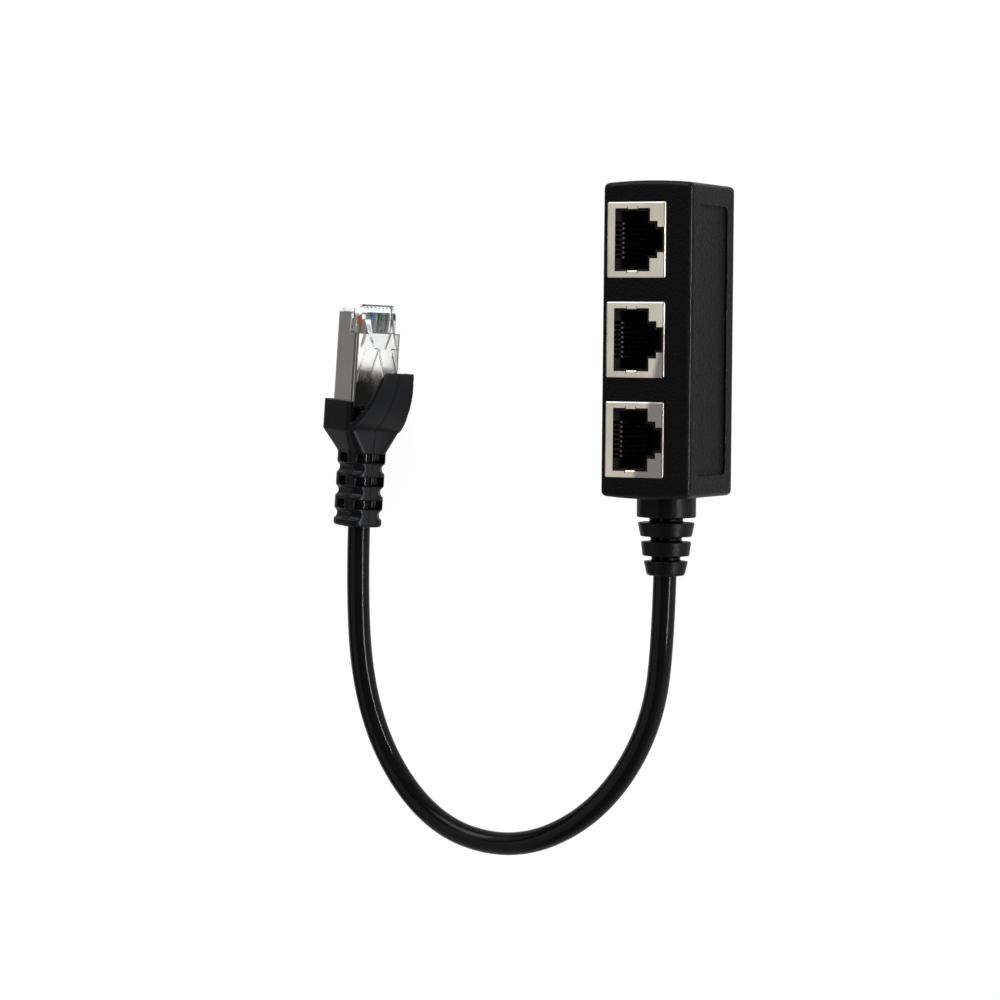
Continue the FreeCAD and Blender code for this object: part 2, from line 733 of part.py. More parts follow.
def plug_boot():
    """Moulded boot: open block round the plug's rear, guard, taper and segmented sleeve."""
    half = boot_width / 2
    block_end = -boot_front - boot_block_length
    sleeve_start = block_end - boot_taper_length
    sleeve_end = sleeve_start - sleeve_length
    sleeve_half = sleeve_width / 2
    block = rounded_box(-half, half, block_end, -boot_front, -boot_back, boot_top, boot_corner_radius, Y_AXIS)
    taper = Part.makeLoft([rounded_outline(half, -boot_back, boot_top, boot_corner_radius, block_end),
                           rounded_outline(sleeve_half, -sleeve_half, sleeve_half, sleeve_corner_radius,
                                           sleeve_start)], True, True)
    sleeve = rounded_box(-sleeve_half, sleeve_half, sleeve_end, sleeve_start, -sleeve_half, sleeve_half,
                         sleeve_corner_radius, Y_AXIS)
    lip = [edge for edge in sleeve.Edges if edge.BoundBox.YMax < sleeve_end + tiny]
    sleeve = sleeve.makeFillet(sleeve_lip_radius, lip)
    inside = half - boot_wall
    rear_half = plug_width / 2 + boot_plug_fit
    latch_side = guard()
    cuts = [centred(inside, block_end + boot_floor, past - boot_front,
                    boot_wall - boot_back, boot_top + past),
            centred(rear_half, -boot_front - boot_overlap, past - boot_front,
                    -plug_contact_side - plug_shield_sheet - boot_plug_fit, boot_top + past)]
    cuts = [cut.cut(latch_side) for cut in cuts]
    cuts.append(Part.makeCylinder(cable_radius + boot_cable_clearance, sleeve_length * 2 + boot_block_length,
                                  V(0, -boot_front, 0), -Y_AXIS))
    for index in range(sleeve_segments):
        top = sleeve_start - index * sleeve_segment_pitch
        cuts += sleeve_windows(top - sleeve_window_offset) + sleeve_grooves(top - sleeve_groove_offset)
    return on_plug(fuse([block, taper, sleeve, latch_side]).cut(cuts))


def build():
    """Every separate piece by name."""
    pieces = {"housing": housing(), "circuit_board": circuit_board(), "board_wires": board_wires(),
              "cable": cable(), "plug_body": plug_body(), "plug_blades": plug_blades(),
              "plug_load_bar": plug_load_bar(), "plug_shield": plug_shield(), "plug_boot": plug_boot()}
    for number, y in enumerate(reversed(socket_places), 1):
        pieces["socket_%d_shield" % number] = socket_shield(y)
        pieces["socket_%d_insert" % number] = socket_insert(y)
        pieces["socket_%d_contact_block" % number] = contact_block(y)
        pieces["socket_%d_contacts" % number] = contact_set(y)
    for index in range(contact_count):
        pieces["plug_wire_%d" % (index + 1)] = plug_wire(index)
    return pieces


os.makedirs("parts", exist_ok=True)
for name, shape in build().items():
    shape.exportStep("parts/" + name + ".step")
    print(name, "solids", len(shape.Solids), "valid", shape.isValid(), "volume", round(shape.Volume, 2),
          "box", [round(v, 2) for v in (shape.BoundBox.XMin, shape.BoundBox.XMax, shape.BoundBox.YMin,
                                        shape.BoundBox.YMax, shape.BoundBox.ZMin, shape.BoundBox.ZMax)])
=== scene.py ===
"""A network splitter: one booted plug on a short cable to three shielded sockets in a block."""

import math

import bmesh
import bpy
from mathutils import Matrix, Vector
from mathutils.bvhtree import BVHTree


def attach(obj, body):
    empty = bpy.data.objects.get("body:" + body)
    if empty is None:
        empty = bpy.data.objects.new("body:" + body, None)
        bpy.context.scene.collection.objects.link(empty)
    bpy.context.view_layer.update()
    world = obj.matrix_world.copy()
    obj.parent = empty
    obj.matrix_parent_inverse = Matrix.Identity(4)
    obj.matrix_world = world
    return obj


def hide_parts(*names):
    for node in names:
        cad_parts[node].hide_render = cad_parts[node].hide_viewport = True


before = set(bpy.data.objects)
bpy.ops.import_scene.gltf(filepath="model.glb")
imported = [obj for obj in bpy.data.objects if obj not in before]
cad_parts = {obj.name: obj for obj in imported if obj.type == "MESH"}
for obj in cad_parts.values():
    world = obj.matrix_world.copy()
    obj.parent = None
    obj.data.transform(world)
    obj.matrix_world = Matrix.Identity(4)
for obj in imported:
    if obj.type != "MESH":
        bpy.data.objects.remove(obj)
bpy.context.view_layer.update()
mm = 0.001


# Camera. It looks down on the block as it lies on its back, from a little to the right of
# square, far enough off for the photograph's mild perspective. The optical axis meets the
# picture above its middle, as it does in the cropped photograph.
view_azimuth = math.radians(26.67)
view_roll = math.radians(0.63)
view_distance = 700 * mm
view_aim = (-40.88 * mm, -2.01 * mm)
frame_pixels = 1000
focal_pixels = 3255.7
axis_row = 350
nearest_seen = 10 * mm

towards = Vector((math.sin(view_azimuth), 0, math.cos(view_azimuth)))
level = Vector((math.cos(view_azimuth), 0, -math.sin(view_azimuth)))
upright = Vector((0, 1, 0))
view_right = level * math.cos(view_roll) + upright * math.sin(view_roll)
view_up = upright * math.cos(view_roll) - level * math.sin(view_roll)
lens = bpy.data.cameras.new("camera")
lens.lens = lens.sensor_width * focal_pixels / frame_pixels
lens.shift_y = (axis_row - frame_pixels / 2) / frame_pixels
lens.clip_start = nearest_seen
camera = bpy.data.objects.new("camera", lens)
eye = towards * view_distance + view_right * view_aim[0] + view_up * view_aim[1]
camera.matrix_world = (Matrix.Translation(eye)
                       @ Matrix((view_right, view_up, towards)).transposed().to_4x4())
bpy.context.scene.collection.objects.link(camera)
bpy.context.scene.camera = camera


# Cable. Round glossy PVC jacket over eight cores, moulded into the block's strain relief at
# one end and crimped in the plug at the other. It drops to the table, turns in a U and rises
# a little into the boot.
class Value:
    """A number that varies over a surface; arithmetic on it adds Math nodes."""

    def __init__(self, nodes, socket):
        self.nodes = nodes
        self.socket = socket

    def math(self, operation, *values):
        """One Math node on this number and any others."""
        return self.nodes.node("ShaderNodeMath", {"operation": operation},
                               dict(enumerate((self, *values))))

    def __add__(self, other):
        return self.math("ADD", other)

    def __sub__(self, other):
        return self.math("SUBTRACT", other)

    def __rsub__(self, other):
        return self * -1 + other

    def __mul__(self, other):
        return self.math("MULTIPLY", other)

    def __truediv__(self, other):
        return self.math("DIVIDE", other)

    def __pow__(self, other):
        return self.math("POWER", other)

    def __abs__(self):
        return self.math("ABSOLUTE")

    def __gt__(self, other):
        return self.math("GREATER_THAN", other)

    def __lt__(self, other):
        return self.math("LESS_THAN", other)

    __radd__ = __add__
    __rmul__ = __mul__


class Nodes:
    """A node tree, with one method that adds a node of any kind."""

    def __init__(self, tree):
        self.tree = tree

    def node(self, kind, settings=None, sockets=None, output=0):
        """Its settings come first, then the values or links of its sockets."""
        node = self.tree.nodes.new(kind)
        for setting, value in (settings or {}).items():
            setattr(node, setting, value)
        for key, value in (sockets or {}).items():
            self.feed(self.named(node.inputs, key), value)
        return Value(self, self.named(node.outputs, output))

    def named(self, sockets, key):
        """A socket by its number, identifier or name."""
        if isinstance(key, int):
            return sockets[key]
        return next((socket for socket in sockets if socket.identifier == key), None) or sockets[key]

    def feed(self, socket, value):
        """Links a varying value to a socket, or sets the socket to a fixed one."""
        if isinstance(value, Value):
            self.tree.links.new(value.socket, socket)
        elif socket.type == "RGBA":
            socket.default_value = (*value, 1)
        else:
            socket.default_value = value


class Finish(Nodes):
    """A material: the nodes that feed its Principled shader, and what is the same all over."""

    def __init__(self, name, **fixed):
        self.material = bpy.data.materials.new(name)
        self.material.use_nodes = True
        super().__init__(self.material.node_tree)
        self.shader = self.tree.nodes["Principled BSDF"]
        self.place = self.node("ShaderNodeTexCoord", output="Object")
        for socket, value in fixed.items():
            self.feed(self.shader.inputs[socket.replace("_", " ")], value)

    def noise(self, size, detail=2.0, stretch=(1, 1, 1)):
        """Soft noise whose blotches are about one size across, longer where it is stretched."""
        place = self.node("ShaderNodeMapping", None,
                          {"Vector": self.place, "Scale": tuple(1 / s for s in stretch)})
        return self.node("ShaderNodeTexNoise", None,
                         {"Vector": place, "Scale": 1 / size, "Detail": detail}, "Fac")

    def blend(self, factor, first, second):
        """A colour between two colours."""
        return self.node("ShaderNodeMix", {"data_type": "RGBA"},
                         {"Factor_Float": factor, "A_Color": first, "B_Color": second}, "Result_Color")

    def surface(self, relief=None, depth=0.0, **varying):
        """Feeds the shader. The relief's height, 0 to 1, stands for the given depth."""
        for socket, value in varying.items():
            self.feed(self.shader.inputs[socket.replace("_", " ")], value)
        if relief is not None:
            bump = self.node("ShaderNodeBump", None, {"Height": relief, "Distance": depth})
            self.feed(self.shader.inputs["Normal"], bump)
        return self.material


def link(name, data):
    """A new object, linked into the scene."""
    piece = bpy.data.objects.new(name, data)
    bpy.context.scene.collection.objects.link(piece)
    return piece


cable_diameter = 5.0 * mm
cable_route = (
    (0, -31.5, 11.7), (0, -60.0, 11.7), (-6.6, -84.0, 3.1), (-19.8, -103.2, 2.6),
    (-40.0, -112.8, 2.6), (-61.7, -107.6, 2.6), (-77.2, -85.2, 2.8),
    (-76.98, -50.60, 8.81), (-74.92, -15.86, 8.81),
)
round_steps = 10
bend_steps = 24

jacket = Finish("cable_black", Specular_IOR_Level=0.11)
swell = jacket.noise(3 * mm)
pores = jacket.noise(0.25 * mm, 3)
jacket_black = jacket.surface(
    Base_Color=jacket.blend(swell, (0.0024, 0.0024, 0.0028), (0.0040, 0.0040, 0.0044)),
    Roughness=swell * 0.05 + pores * 0.05 + 0.1,
    relief=swell * 0.8 + pores * 0.2, depth=0.02 * mm)

line = bpy.data.curves.new("cable_jacket", "CURVE")
line.dimensions = "3D"
line.bevel_depth = cable_diameter / 2
line.bevel_resolution = round_steps
line.resolution_u = bend_steps
line.use_fill_caps = True
run = line.splines.new("NURBS")
run.points.add(len(cable_route) - 1)
for point, place in zip(run.points, cable_route):
    point.co = (*(Vector(place) * mm), 1)
run.order_u = 3
run.use_endpoint_u = True
line.materials.append(jacket_black)
cable_jacket = link("cable_jacket", line)
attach(cable_jacket, "root")
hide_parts("cable")


# Block. One overmoulding of black PVC round the three sockets, finely grained by the mould,
# with rounded edges that handling has polished, slightly crowned ends and a shallow bare panel
# in its right side.
def softened(corners, steps=6, closed=True):
    """Points of a flat outline whose corners (x, y, radius) are rounded by arcs."""
    points = []
    for index, (x, y, radius) in enumerate(corners):
        corner = Vector((x, y))
        if not radius or (not closed and index in (0, len(corners) - 1)):
            points.append(corner)
            continue
        back = (Vector(corners[index - 1][:2]) - corner).normalized()
        ahead = (Vector(corners[(index + 1) % len(corners)][:2]) - corner).normalized()
        half_angle = back.angle(ahead) / 2
        centre = corner + (back + ahead).normalized() * (radius / math.sin(half_angle))
        reach = radius / math.tan(half_angle)
        start, end = corner + back * reach - centre, corner + ahead * reach - centre
        points += [centre + start.slerp(end, step / steps) * radius for step in range(steps + 1)]
    return points


def loft(name, rings, placed):
    """Closed skin over rings of equally many flat points, put in space by a function."""
    mesh = bmesh.new()
    rows = [[mesh.verts.new(placed(point, height)) for point in ring] for ring, height in rings]
    for low, high in zip(rows, rows[1:]):
        for index in range(len(low)):
            mesh.faces.new((low[index - 1], low[index], high[index], high[index - 1]))
    mesh.faces.new(rows[0])
    mesh.faces.new(rows[-1])
    bmesh.ops.recalc_face_normals(mesh, faces=mesh.faces)
    data = bpy.data.meshes.new(name)
    mesh.to_mesh(data)
    mesh.free()
    return link(name, data)


def flare(base, mouth, radius, over, steps=5):
    """Heights and outward offsets of a cutter whose mouth is opened by a quarter round."""
    rise = [(base, 0)]
    for step in range(steps + 1):
        turn = step / steps * math.pi / 2
        rise.append((mouth - radius + radius * math.sin(turn), radius * (1 - math.cos(turn))))
    return rise + [(mouth + over, radius)]


def cut(body, cutters):
    """Takes the cutters out of a body and deletes them."""
    for cutter in cutters:
        step = body.modifiers.new(cutter.name, "BOOLEAN")
        step.object = cutter
        step.solver = "EXACT"
    keep_as_made(body)
    for cutter in cutters:
        bpy.data.meshes.remove(cutter.data)


def keep_as_made(piece):
    """Turns what a piece's modifiers make of it into its own plain mesh."""
    graph = bpy.context.evaluated_depsgraph_get()
    made = bpy.data.meshes.new_from_object(piece.evaluated_get(graph))
    piece.modifiers.clear()
    piece.data = made


def as_mesh(piece):
    """Replaces a piece by a new one whose plain mesh is what the first evaluates to."""
    name = piece.name
    graph = bpy.context.evaluated_depsgraph_get()
    made = bpy.data.meshes.new_from_object(piece.evaluated_get(graph))
    bpy.data.objects.remove(piece)
    return link(name, made)


def smooth(piece, material, angle=35):
    """Smooth shading apart from sharp edges, and one material."""
    for face in piece.data.polygons:
        face.use_smooth = True
        face.material_index = 0
    piece.data.set_sharp_from_angle(angle=math.radians(angle))
    piece.data.materials.clear()
    piece.data.materials.append(material)
    weigh = piece.modifiers.new("weigh", "WEIGHTED_NORMAL")
    weigh.keep_sharp = True
    keep_as_made(piece)


def rectangle(x0, x1, y0, y1, radius, grow=0.0):
    """Corners of a rectangle that is grown all round, with its corner radius."""
    radius = radius + grow
    return [(x0 - grow, y0 - grow, radius), (x1 + grow, y0 - grow, radius),
            (x1 + grow, y1 + grow, radius), (x0 - grow, y1 + grow, radius)]


def stand(point, height):
    """A point of an outline in the XY plane, in millimetres."""
    return Vector((point.x, point.y, height)) * mm


block_width = 20.5
block_length = 66.7
block_depth = 23.4
block_round = 1.2
block_crown = 0.5
crown_steps = 12
least_round = 0.01
socket_left, socket_right = -9.05, 4.35
socket_places = {"socket_1": 20.9, "socket_2": 0.0, "socket_3": -20.9}
socket_half = 8.0
socket_back = 2.4
moulding_gap = 0.03
pocket_round = 0.4
lip_round = 0.18
panel_recess = 0.5
panel_plan = (-28.35, 28.35, 4.3, 19.9)
panel_round = 1.5
panel_lip = 0.12
board_room_plan = (4.35, 8.35, -30.45, 30.45)
board_room_heights = (1.3, 22.1)
wire_room_plan = (-2.5, 8.35, -31.5, -30.15)
wire_room_heights = (7.44, 15.96)
cable_hole_section = (-2.58, 2.58, 9.12, 14.28)
cable_hole_round = 2.57
cable_hole_reach = (30, 36)
past = 1


def block_outline(inset):
    """Plan of the block with crowned ends, smaller by an inset all round."""
    side = block_width / 2 - inset
    end = block_length / 2 - inset
    radius = (side ** 2 + block_crown ** 2) / (2 * block_crown)
    corners = []
    for way in (1, -1):
        for step in range(crown_steps + 1):
            x = way * side * (1 - 2 * step / crown_steps)
            y = way * (end - radius + math.sqrt(radius ** 2 - x ** 2))
            at_corner = step in (0, crown_steps)
            corners.append((x, y, max(block_round - inset, least_round) if at_corner else 0))
    return softened(corners)


def rounded_rise(depth, radius, steps=6):
    """Heights and insets of a block whose two rims are rounded."""
    turns = [step / steps * math.pi / 2 for step in range(steps + 1)]
    foot = [(radius * (1 - math.cos(turn)), radius * (1 - math.sin(turn))) for turn in turns]
    return foot + [(depth - height, inset) for height, inset in reversed(foot)]


block = loft("block", [(block_outline(inset), height)
                       for height, inset in rounded_rise(block_depth, block_round)], stand)
pockets = []
for name, y in socket_places.items():
    rings = [(softened(rectangle(socket_left - moulding_gap, socket_right + moulding_gap,
                                 y - socket_half - moulding_gap, y + socket_half + moulding_gap,
                                 pocket_round, grow)), height)
             for height, grow in flare(socket_back, block_depth, lip_round, past)]
    pockets.append(loft(name + "_pocket", rings, stand))
panel_floor = block_width / 2 - panel_recess
panel = loft("panel_pocket",
             [(softened(rectangle(*panel_plan, panel_round, grow)), height)
              for height, grow in flare(panel_floor, block_width / 2, panel_lip, past)],
             lambda point, height: Vector((height, point.x, point.y)) * mm)
board_room = loft("board_room", [(softened(rectangle(*board_room_plan, 0)), height)
                                 for height in board_room_heights], stand)
wire_room = loft("wire_room", [(softened(rectangle(*wire_room_plan, 0)), height)
                               for height in wire_room_heights], stand)
cable_hole = loft("cable_hole",
                  [(softened(rectangle(*cable_hole_section, cable_hole_round)), -reach)
                   for reach in cable_hole_reach],
                  lambda point, height: Vector((point.x, height, point.y)) * mm)
cut(block, pockets + [panel, board_room, wire_room, cable_hole])

edge_shine = 0.75
pvc = Finish("housing_black", Specular_IOR_Level=0.047)
mottle = pvc.noise(9 * mm, 3)
grain = pvc.noise(0.5 * mm, 4)
facing = pvc.node("ShaderNodeNewGeometry", output="Normal")
squareness = [abs(pvc.node("ShaderNodeSeparateXYZ", None, {"Vector": facing}, axis)) for axis in "XYZ"]
squarest = squareness[0].math("MAXIMUM", squareness[1]).math("MAXIMUM", squareness[2])
worn = (1 - squarest) * edge_shine
housing_black = pvc.surface(
    Coat_Weight=worn,
    Base_Color=pvc.blend(mottle, (0.0022, 0.0022, 0.0025), (0.0042, 0.0042, 0.0045)),
    Roughness=mottle * 0.08 + grain * 0.14 + 0.3,
    relief=grain, depth=0.32 * mm)
smooth(block, housing_black)
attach(block, "root")
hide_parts("housing")


# Strain relief. Four tapering rings moulded with the block, on a neck that is grooved between
# them so that it bends with the cable. Small windows in the grooves show the cable's jacket.
class Recipe(Nodes):
    """A Geometry Nodes tree with named inputs. What it makes is kept as a plain mesh."""

    kinds = {int: "NodeSocketInt", float: "NodeSocketFloat", bpy.types.Material: "NodeSocketMaterial"}

    def __init__(self, name, **inputs):
        super().__init__(bpy.data.node_groups.new(name, "GeometryNodeTree"))
        self.values = inputs
        interface = self.tree.interface
        interface.new_socket("Geometry", in_out="INPUT", socket_type="NodeSocketGeometry")
        for label, value in inputs.items():
            interface.new_socket(label.replace("_", " "), in_out="INPUT",
                                 socket_type=self.kinds[type(value)])
        interface.new_socket("Geometry", in_out="OUTPUT", socket_type="NodeSocketGeometry")
        self.entry = self.tree.nodes.new("NodeGroupInput")
        self.exit = self.tree.nodes.new("NodeGroupOutput")
        self.base = Value(self, self.entry.outputs["Geometry"])

    def value(self, label):
        """One of the named inputs."""
        return Value(self, self.entry.outputs[label.replace("_", " ")])

    def make(self, name, base, geometry, material):
        """Ends the tree, runs it on a base's data and returns the result as a new object."""
        whole = self.node("GeometryNodeRealizeInstances", None, {"Geometry": geometry})
        painted = self.node("GeometryNodeSetMaterial", None,
                            {"Geometry": whole, "Material": self.value(material)})
        self.feed(self.exit.inputs["Geometry"], painted)
        piece = link(name, base)
        step = piece.modifiers.new(name, "NODES")
        step.node_group = self.tree
        for item in self.tree.interface.items_tree:
            label = item.name.replace(" ", "_")
            if item.in_out == "INPUT" and label in self.values:
                step[item.identifier] = self.values[label]
        return as_mesh(piece)


def poly_line(name, places, radii):
    """An open curve of straight runs through places, with a radius at each."""
    data = bpy.data.curves.new(name, "CURVE")
    data.dimensions = "3D"
    spline = data.splines.new("POLY")
    spline.points.add(len(places) - 1)
    for point, place, radius in zip(spline.points, places, radii):
        point.co = (*place, 1)
        point.radius = radius
    return data


ring_radii = ((6.3, 6.3), (6.05, 5.45), (5.35, 4.95), (4.7, 4.0))
ring_lengths = (4.1, 2.95, 3.0, 3.1)
neck_radii = (3.55, 3.3, 3.05)
groove_length = 1.1
groove_round = groove_length * 0.49
ring_edge = 0.22
relief_mouth = 0.7
cable_height = 11.7
relief_start = -block_length / 2 + 1.7
window_width = 2.6
window_shift = 0.3
window_depth = 20
point_drift = 0.0002

corners = [(relief_start, ring_radii[0][0], 0)]
y = -block_length / 2
for index, (length, (upper, lower)) in enumerate(zip(ring_lengths, ring_radii)):
    if index:
        neck = neck_radii[index - 1]
        corners += [(y, neck, groove_round), (y - groove_length, neck, groove_round)]
        y -= groove_length
        corners.append((y, upper, ring_edge))
    y -= length
    corners.append((y, lower, ring_edge if index < len(neck_radii) else relief_mouth))
corners.append((y, cable_diameter / mm / 2, 0))
profile = softened(corners, closed=False)
places = [Vector((0, point.x - point_drift * step, cable_height)) * mm
          for step, point in enumerate(profile)]

supple = Finish("relief_black", Specular_IOR_Level=0.09)
pebble = supple.noise(0.4 * mm, 3)
relief_black = supple.surface(
    Base_Color=supple.blend(supple.noise(5 * mm), (0.0022, 0.0022, 0.0025), (0.0042, 0.0042, 0.0045)),
    Roughness=pebble * 0.14 + 0.26,
    relief=pebble, depth=0.06 * mm)

relief = Recipe("strain_relief", Sides=96, Windows=3,
                Window_Start=-38.0 * mm, Window_Pitch=4.075 * mm,
                Window_Shift=window_shift * mm, Window_Width=window_width * mm,
                Window_Length=groove_length * mm, Finish=relief_black)
round_section = relief.node("GeometryNodeCurvePrimitiveCircle", None,
                            {"Resolution": relief.value("Sides"), "Radius": 1.0})
rings = relief.node("GeometryNodeCurveToMesh", None, {
    "Curve": relief.base, "Profile Curve": round_section,
    "Scale": relief.node("GeometryNodeInputRadius"), "Fill Caps": True})
first = relief.node("ShaderNodeCombineXYZ", None, {
    "X": relief.value("Window_Shift"), "Y": relief.value("Window_Start"), "Z": cable_height * mm})
next_one = relief.node("ShaderNodeCombineXYZ", None, {"Y": relief.value("Window_Pitch") * -1})
grooves = relief.node("GeometryNodeMeshLine", {"mode": "OFFSET"},
                      {"Count": relief.value("Windows"), "Start Location": first, "Offset": next_one})
slot_size = relief.node("ShaderNodeCombineXYZ", None, {
    "X": relief.value("Window_Width"), "Y": relief.value("Window_Length"), "Z": window_depth * mm})
slot = relief.node("GeometryNodeMeshCube", None, {"Size": slot_size})
slots = relief.node("GeometryNodeInstanceOnPoints", None, {"Points": grooves, "Instance": slot})
windowed = relief.node("GeometryNodeMeshBoolean", {"operation": "DIFFERENCE", "solver": "EXACT"},
                       {"Mesh 1": rings, "Mesh 2": slots})
strain_relief = relief.make(
    "strain_relief", poly_line("relief_line", places, [point.y * mm for point in profile]),
    windowed, "Finish")
smooth(strain_relief, relief_black)
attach(strain_relief, "root")
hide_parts("housing")


# Socket shells. Folded and sprung sheets of nickel-plated brass, with the fine lines of the
# rolling mill across them and a faint warm cloud in the plating. Towards the latches and the
# cable the plating is painted darker: a painted dark reflection.
def dress(material, *nodes):
    """Gives CAD nodes a finish."""
    for name in nodes:
        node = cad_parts[name]
        if not node.material_slots:
            node.data.materials.append(material)
        for slot in node.material_slots:
            slot.material = material


painted_reflection_slant = 0.2
painted_reflection_start = 2.9
painted_reflection_fade = 1.3
painted_reflection_depth = 0.9

nickel = Finish("shield_nickel", Metallic=1.0)
rolled = nickel.noise(0.35 * mm, 2, (1, 14, 1))
cloud = nickel.noise(7 * mm, 2)
latchward, endward = [nickel.node("ShaderNodeSeparateXYZ", None, {"Vector": nickel.place}, axis)
                      for axis in "XY"]
# Painted dark reflection: the plating's colour darkens towards the latches and the cable end.
painted_dark_reflection = (latchward / mm - endward / mm * painted_reflection_slant - painted_reflection_start) / painted_reflection_fade
shield_nickel = nickel.surface(
    Base_Color=nickel.blend(painted_dark_reflection.math("MAXIMUM", 0.0).math("MINIMUM", painted_reflection_depth),
                            nickel.blend(cloud, (0.42, 0.387, 0.337), (0.80, 0.734, 0.622)),
                            (0.20, 0.185, 0.185)),
    Roughness=cloud * 0.12 + rolled * 0.08 + 0.22,
    relief=rolled, depth=0.003 * mm)
dress(shield_nickel, *[name + "_shield" for name in socket_places])


# Socket inserts and contact blocks. Black glass-filled nylon with faint flow marks, pressed
# into the shells, so dark that only their front edges show.
nylon = Finish("insert_black", Specular_IOR_Level=0.07)
flow = nylon.noise(2 * mm, 3)
insert_black = nylon.surface(
    Base_Color=nylon.blend(flow, (0.0075, 0.0062, 0.0062), (0.0115, 0.0095, 0.0095)),
    Roughness=flow * 0.15 + 0.45,
    relief=nylon.noise(0.12 * mm), depth=0.004 * mm)
dress(insert_black, *[name + part for name in socket_places for part in ("_insert", "_contact_block")])


# Contacts and blades. Phosphor bronze, bent and stamped, plated with gold that is wiped
# a little brighter where plugs have run along it.
gilt = Finish("contact_gold", Metallic=1.0)
wipe = gilt.noise(0.4 * mm, 2, (1, 1, 8))
contact_gold = gilt.surface(
    Base_Color=gilt.blend(wipe, (0.88, 0.81, 0.64), (0.98, 0.92, 0.76)),
    Roughness=wipe * 0.15 + 0.2)
dress(contact_gold, "plug_blades", *[name + "_contacts" for name in socket_places])


# Circuit board and the grey-sleeved leads in the block, hidden behind the sockets. Green
# solder mask over glass cloth whose weave shows faintly.
board = Finish("board_green", Specular_IOR_Level=0.5)
weave = board.noise(0.6 * mm, 1)
board_green = board.surface(
    Base_Color=board.blend(weave, (0.01, 0.09, 0.035), (0.015, 0.12, 0.05)),
    Roughness=weave * 0.1 + 0.3,
    relief=weave, depth=0.004 * mm)
dress(board_green, "circuit_board")
lead = Finish("lead_grey")
lead_grey = lead.surface(
    Base_Color=lead.blend(lead.noise(2 * mm), (0.2, 0.2, 0.2), (0.3, 0.3, 0.3)),
    Roughness=lead.noise(0.5 * mm) * 0.1 + 0.4)
dress(lead_grey, "board_wires")


# Plug body and load bar. Clear polycarbonate with its latch in one moulding, and a milky
# bar inside it that holds the cores in a row. Its rim at the nose is painted dark: a painted
# reflection, standing for the dark reflections it gathers when seen from the side.
nose_place = (-73.6, 6.3, 8.812)
plug_heading = math.radians(-3.4)
plug_roll = math.radians(62.0)
plug_place = (Matrix.Translation(Vector(nose_place) * mm) @ Matrix.Rotation(plug_heading, 4, "Z")
              @ Matrix.Rotation(plug_roll, 4, "Y"))
painted_rim_start = 0.75


def in_plug(finish):
    """Places along the plug's own three axes, in millimetres from its nose."""
    return [finish.node("ShaderNodeVectorMath", {"operation": "DOT_PRODUCT"},
                        {0: finish.place, 1: axis.to_3d() / mm}, "Value")
            - plug_place.translation.dot(axis.to_3d()) / mm for axis in plug_place.col[:3]]


clear = Finish("clear_polycarbonate", Transmission_Weight=1.0, IOR=1.58)
haze = clear.noise(3 * mm)
# Painted dark reflection: past the rim start, the clear body's colour is near black.
painted_dark_rim = in_plug(clear)[1] > painted_rim_start
clear_polycarbonate = clear.surface(
    Base_Color=clear.blend(painted_dark_rim, clear.blend(haze, (0.86, 0.88, 0.90), (0.93, 0.94, 0.95)),
                           (0.05, 0.055, 0.065)),
    Roughness=haze * 0.05 + 0.03)
dress(clear_polycarbonate, "plug_body")
bar = Finish("load_bar_natural", Transmission_Weight=0.4)
load_bar_natural = bar.surface(
    Base_Color=bar.blend(bar.noise(1 * mm), (0.6, 0.6, 0.55), (0.7, 0.7, 0.65)),
    Roughness=bar.noise(0.5 * mm) * 0.1 + 0.35)
dress(load_bar_natural, "plug_load_bar")


# Plug shield. Nickel-plated sheet folded round the body, with its crimp ring. Each fold lies
# between two dark lines of painted shade, standing for the gaps at the folds, and the plating
# is painted near black along the cut edge that faces the nose.
side_fold_line, top_fold_line, cut_edge = 3.3, 5.3, -5.42
side_reach, top_rise = 5.5, 3.7
side_fold_line_half, top_fold_line_half = 0.17, 0.34 / 3
fold_shade_and_edge_darkness = 0.92

plated = Finish("plug_nickel", Metallic=1.0)
drawn = plated.noise(0.3 * mm, 2, (1, 12, 1))
film = plated.noise(5 * mm, 3)
across, along, rise = in_plug(plated)
reach = abs(across)
# Painted shade: two near-black lines at the folds, and a near-black strip along the cut edge facing
# the nose.
painted_fold_shade_and_dark_edge = ((abs(rise - side_fold_line) < side_fold_line_half) * (reach > side_reach)
         + (abs(reach - top_fold_line) < top_fold_line_half) * (rise > top_rise)
         + (along > cut_edge) * (rise > top_rise)).math("MINIMUM", 1.0)
plug_nickel = plated.surface(
    Base_Color=plated.blend(painted_fold_shade_and_dark_edge * fold_shade_and_edge_darkness,
                            plated.blend(film, (0.86, 0.845, 0.81), (0.94, 0.925, 0.89)),
                            (0.02, 0.01, 0.01)),
    Roughness=film * 0.05 + drawn * 0.02 + painted_fold_shade_and_dark_edge * 0.3 + 0.09,
    relief=drawn, depth=0.0003 * mm)
dress(plug_nickel, "plug_shield")


